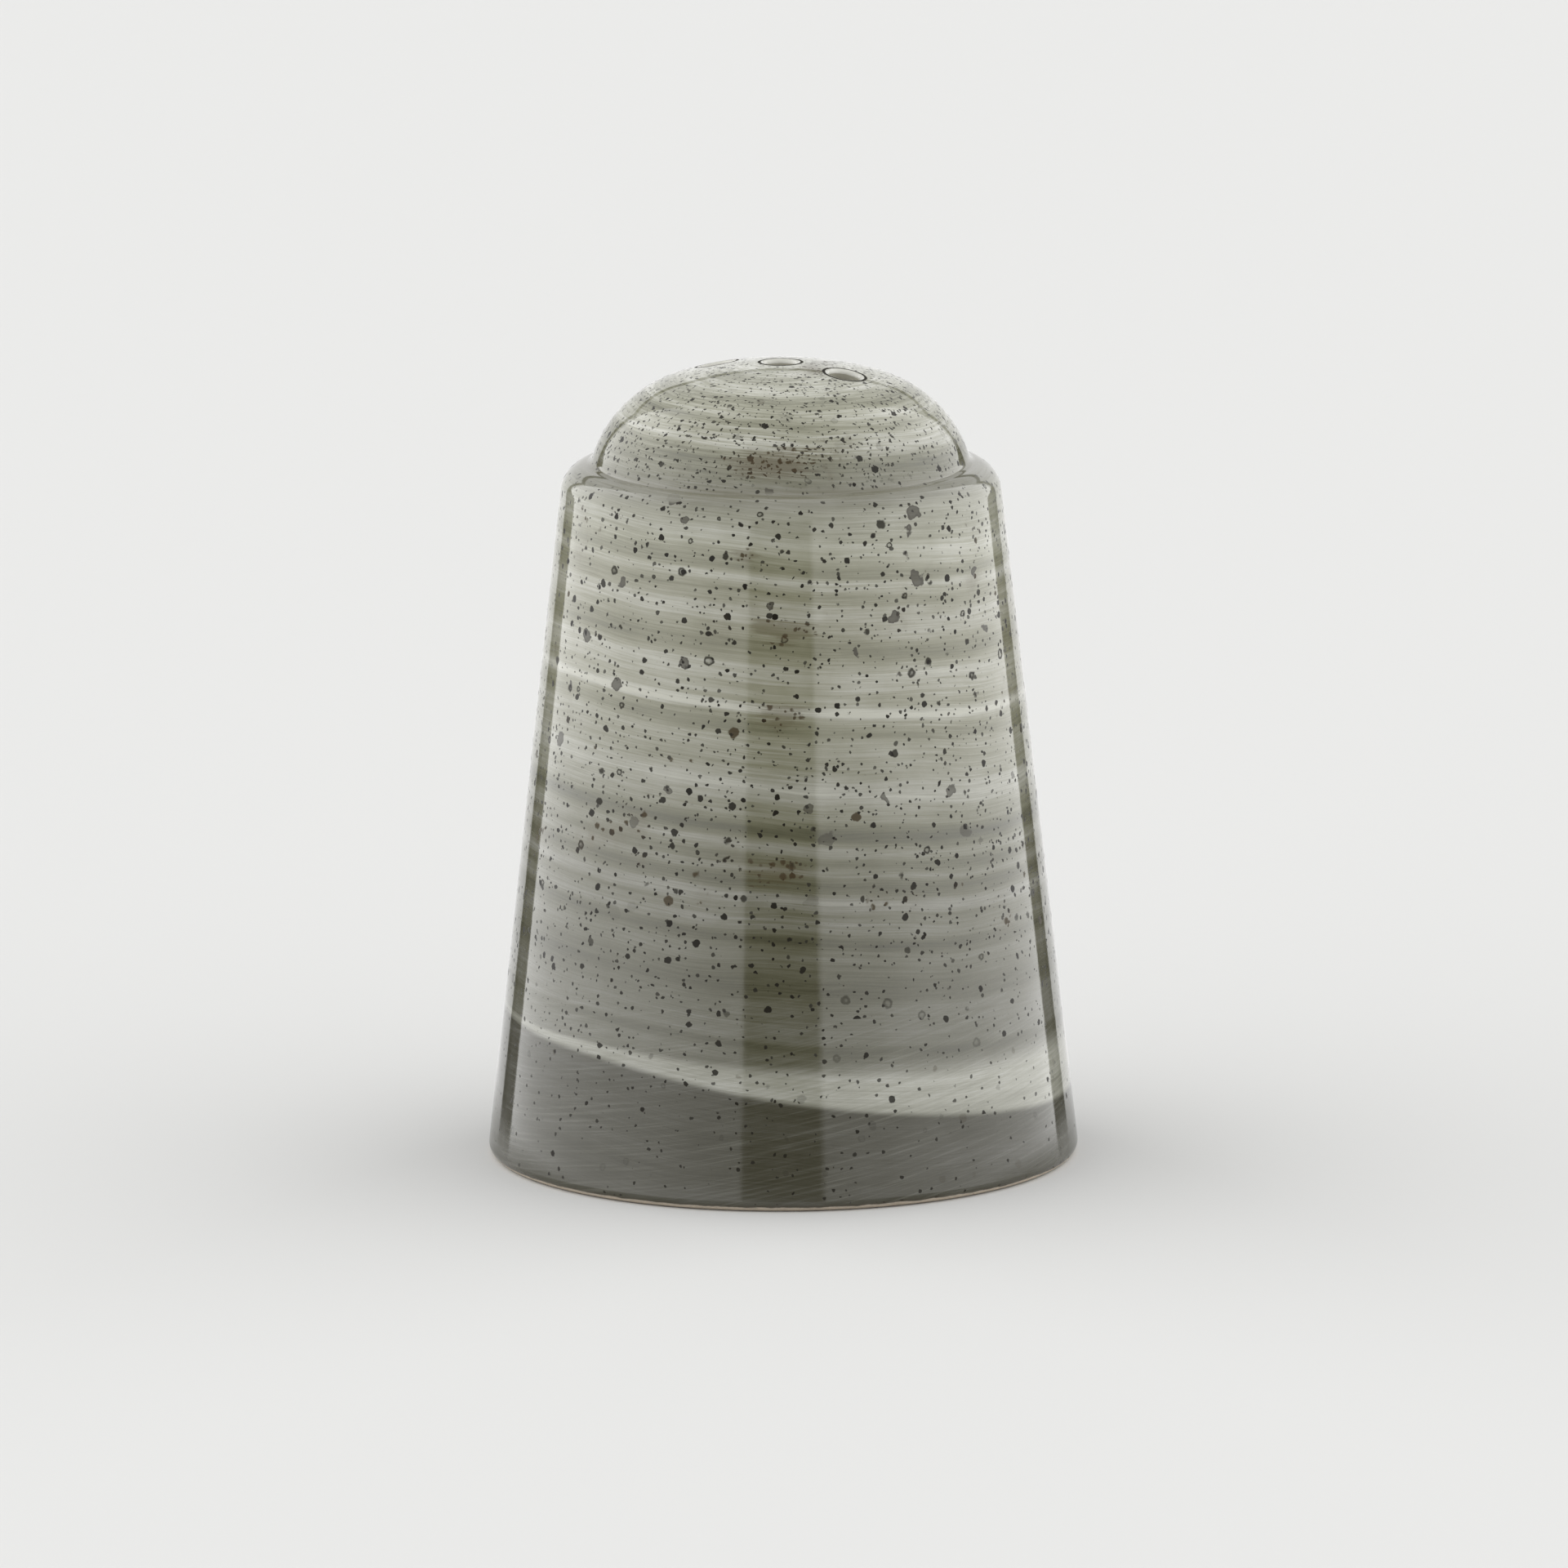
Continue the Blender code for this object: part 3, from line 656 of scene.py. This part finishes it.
linerLook = {
    "dark": (0.36, 0.345, 0.28), "light": (0.46, 0.45, 0.38), "speck": (0.05, 0.045, 0.03),
    "specks": (2.4, 0.08, 0.22, 0.5, 6), "ior": 1.55,
    "chamberMiddle": 0.035, "chamberFloor": 0.0068, "inset": 0.0026,  # metres, for the faces that take it
}


def makeLiner(look):
    material, tree, shader = newMaterial("linerGlaze")
    place = vec(tree, "SCALE", addNode(tree, "TexCoord").outputs["Object"])
    place.node.inputs["Scale"].default_value = 1000
    cloud = noise(tree, place, 0.2, 4, 0.6)
    away, size, chance = speckLayer(tree, place, *look["specks"])
    colour = ramp(tree, cloud, [(0.3, look["dark"]), (0.7, look["light"])])
    colour = blend(tree, calc(tree, "MULTIPLY", spot(tree, away, size), 0.6), colour, (*look["speck"], 1))
    plug(tree, colour, shader.inputs["Base Color"])
    plug(tree, calc(tree, "MULTIPLY_ADD", cloud, 0.15, 0.1), shader.inputs["Roughness"])
    bump = addNode(tree, "Bump", {"Height": cloud, "Strength": 0.3, "Distance": 0.00005})
    plug(tree, bump.outputs["Normal"], shader.inputs["Normal"])
    shader.inputs["IOR"].default_value = look["ior"]
    return material


shakerBody.data.materials.clear()
shakerBody.data.materials.append(makeGlaze(glazeLook, bodySizes))
shakerBody.data.materials.append(makeLiner(linerLook))
middle = Vector((0, 0, linerLook["chamberMiddle"]))
for face in shakerBody.data.polygons:  # chamber faces look at the middle of the chamber
    height = face.center.z
    axial = Vector((face.center.x, face.center.y, 0)).length
    wallLine = glazeLook["wallFoot"] / 1000 - glazeLook["wallSlope"] * height
    within = linerLook["chamberFloor"] < height and axial < wallLine - linerLook["inset"]
    face.material_index = 1 if within and face.normal.dot(face.center - middle) < 0 else 0
print("glaze on")


# soft stopper

stopperLook = {
    "colour": (0.34, 0.33, 0.305), "dust": (0.46, 0.45, 0.42), "ior": 1.43,
    "softness": 0.15, "glowDepth": (0.001, 0.0009, 0.0007),
}


def makeSilicone(look):
    material, tree, shader = newMaterial("softStopper")
    place = vec(tree, "SCALE", addNode(tree, "TexCoord").outputs["Object"])
    place.node.inputs["Scale"].default_value = 1000
    cloud = noise(tree, place, 0.35, 4, 0.6)
    grain = noise(tree, place, 9.0, 3, 0.6)
    dust = fade(tree, noise(tree, place, 1.7, 5, 0.7), 0.52, 0.7)
    darker, lighter = ([c * tone for c in look["colour"]] for tone in (0.9, 1.1))
    colour = ramp(tree, cloud, [(0.3, darker), (0.7, lighter)])
    colour = blend(tree, calc(tree, "MULTIPLY", dust, 0.3), colour, (*look["dust"], 1))
    plug(tree, colour, shader.inputs["Base Color"])
    satin = calc(tree, "MULTIPLY_ADD", dust, 0.15, calc(tree, "MULTIPLY_ADD", grain, 0.2, 0.36))
    plug(tree, satin, shader.inputs["Roughness"])
    bump = addNode(tree, "Bump", {"Height": grain, "Strength": 0.4, "Distance": 0.00003})
    plug(tree, bump.outputs["Normal"], shader.inputs["Normal"])
    shader.inputs["IOR"].default_value = look["ior"]
    shader.inputs["Subsurface Weight"].default_value = look["softness"]
    shader.inputs["Subsurface Radius"].default_value = look["glowDepth"]
    return material


baseStopper.data.materials.clear()
baseStopper.data.materials.append(makeSilicone(stopperLook))

for piece, body, node, slot in (
    (shakerBody, "body", "shaker_body", "speckled_glaze"),
    (baseStopper, "stopper", "base_stopper", "soft_stopper"),
):
    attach(piece, body)
    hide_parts(node)
print("pieces ride")


# camera and studio

studio = {
    "azimuth": 28, "distance": 1.6, "pitch": 11.115, "aimHeight": 0.040, "lens": 375.4,
    "aimSide": 0.00019, "aimDrop": 0.0028, "roll": -0.21,
    "floor": (0.68, 0.68, 0.67), "floorSize": 8, "table": 0.060, "tableFade": 0.031, "tableTop": (0.55, 0.55, 0.54),
    "tent": [  # light walls, by angle round from the camera: brightness
        (-180, 1.0), (-147, 1.0), (-145, 2.1), (-100, 2.05), (-60, 1.7), (-30, 1.15), (-17.2, 1.0),
        (-15.2, 0.05), (15.1, 0.05), (15.9, 1.05), (40, 1.25), (60, 1.65), (100, 1.95), (145, 2.0),
        (147, 1.0), (180, 1.0),
    ],
    "slitTop": (13, 36), "wallTop": (75, 30), "backTop": 21.0,  # elevations at which slit, walls and backdrop end
    "roof": 0.78, "under": 1.0, "underEdge": (-14, -24),
    "backFrom": 146, "frame": (151, 14.5, 3.0),  # dark frame of the backdrop: outer angle, width low down, higher up
    "frameSoft": 0.7, "frameDepth": -0.93, "lineHalf": (1.6, 1.0),
}


def toward(angle):
    # level direction at an angle round from the camera, positive to its right
    turn = math.radians(studio["azimuth"] + angle)
    return Vector((math.sin(turn), -math.cos(turn), 0))


def makeCamera(s):
    data = bpy.data.cameras.new("camera")
    camera = bpy.data.objects.new("camera", data)
    scene.collection.objects.link(camera)
    data.lens, data.sensor_width, data.clip_start = s["lens"], 36, 0.05
    height = s["aimHeight"] + s["distance"] * math.tan(math.radians(s["pitch"]))
    camera.location = toward(0) * s["distance"] + Vector((0, 0, height))
    aim = toward(90) * s["aimSide"] + Vector((0, 0, s["aimHeight"] - s["aimDrop"]))
    look = (aim - camera.location).to_track_quat("-Z", "Y").to_matrix()
    camera.rotation_euler = (look @ Matrix.Rotation(math.radians(s["roll"]), 3, "Z")).to_euler()
    scene.camera = camera


def makeStage(s):
    bpy.ops.object.select_all(action="DESELECT")
    bpy.ops.mesh.primitive_plane_add(size=s["floorSize"], location=(0, 0, -0.00002))
    floor = bpy.context.object
    floor.name = "floor"
    material, _, shader = newMaterial("floorPaper")
    shader.inputs["Base Color"].default_value = (*s["floor"], 1)
    shader.inputs["Roughness"].default_value = 0.9
    floor.data.materials.append(material)
    floor.visible_glossy = False  # the glaze mirrors the light tent and a small round table
    place = (0, 0, -0.00001)
    bpy.ops.mesh.primitive_circle_add(vertices=96, radius=s["table"], fill_type="NGON", location=place)
    table = bpy.context.object
    table.name = "table"
    material, tree, shader = newMaterial("tableTop")
    shader.inputs["Base Color"].default_value = (*s["tableTop"], 1)
    out = vec(tree, "LENGTH", addNode(tree, "TexCoord").outputs["Object"])
    plug(tree, fade(tree, out, s["table"], s["tableFade"]), shader.inputs["Alpha"])  # its rim fades away
    table.data.materials.append(material)
    table.visible_camera = table.visible_diffuse = False  # only mirrored
    table.visible_shadow = table.visible_transmission = False


def makeTent(s):
    # soft light tent with a slit for the camera, which pales upwards, and a pale backdrop in a dark frame
    world = scene.world or bpy.data.worlds.new("world")
    scene.world = world
    world.use_nodes = True
    tree = world.node_tree
    ray = addNode(tree, "TexCoord").outputs["Generated"]
    ahead, across = (vec(tree, "DOT_PRODUCT", ray, toward(angle)) for angle in (0, 90))
    up = addNode(tree, "SeparateXYZ", {"Vector": ray}).outputs[2]
    angle = calc(tree, "ARCTAN2", across, ahead)
    lift = calc(tree, "MULTIPLY", calc(tree, "ARCSINE", up), 180 / math.pi)
    turn = calc(tree, "MULTIPLY_ADD", angle, 0.5 / math.pi, 0.5)
    wall = ramp(tree, turn, [(a / 360 + 0.5, (b / 4, b / 4, b / 4)) for a, b in s["tent"]])
    wall = calc(tree, "MAXIMUM", calc(tree, "MULTIPLY", wall, 4), fade(tree, lift, *s["slitTop"]))
    turned = calc(tree, "MULTIPLY", calc(tree, "ABSOLUTE", angle), 180 / math.pi)
    behind = calc(tree, "GREATER_THAN", turned, s["backFrom"])
    top = s["backTop"]
    part = addNode(tree, "Mix", {"Factor": behind})
    plug(tree, fade(tree, lift, *s["wallTop"]), part.inputs[2])
    plug(tree, fade(tree, lift, top + 0.3, top - 0.3), part.inputs[3])
    light = addNode(tree, "Mix", {"Factor": part.outputs[0]})
    plug(tree, s["roof"], light.inputs[2])
    plug(tree, wall, light.inputs[3])
    below = addNode(tree, "Mix", {"Factor": fade(tree, lift, *s["underEdge"])})
    plug(tree, light.outputs[0], below.inputs[2])
    plug(tree, s["under"], below.inputs[3])
    outer, wide, narrow = s["frame"]
    soft = s["frameSoft"]
    far, near = s["lineHalf"]
    width = calc(tree, "MULTIPLY_ADD", fade(tree, lift, 8, 0), wide - narrow, narrow)
    inner = calc(tree, "SUBTRACT", outer, width)
    outerEdge = fade(tree, turned, outer + soft, outer - soft)
    post = calc(tree, "MULTIPLY", outerEdge, fade(tree, calc(tree, "SUBTRACT", turned, inner), -soft, soft))
    post = calc(tree, "MULTIPLY", post, fade(tree, lift, top + far, top + near))
    lineEdge = fade(tree, lift, top - far, top - near)
    line = calc(tree, "MULTIPLY", lineEdge, fade(tree, lift, top + far, top + near))
    line = calc(tree, "MULTIPLY", line, fade(tree, turned, outer - narrow - soft, outer - narrow + soft))
    frameDark = calc(tree, "MULTIPLY_ADD", calc(tree, "MAXIMUM", post, line), s["frameDepth"], 1)
    plug(tree, calc(tree, "MULTIPLY", below.outputs[0], frameDark), tree.nodes["Background"].inputs["Strength"])
    tree.nodes["Background"].inputs["Color"].default_value = (1, 1, 1, 1)


makeCamera(studio)
makeStage(studio)
makeTent(studio)
scene.view_settings.view_transform = "Standard"
print("studio set")
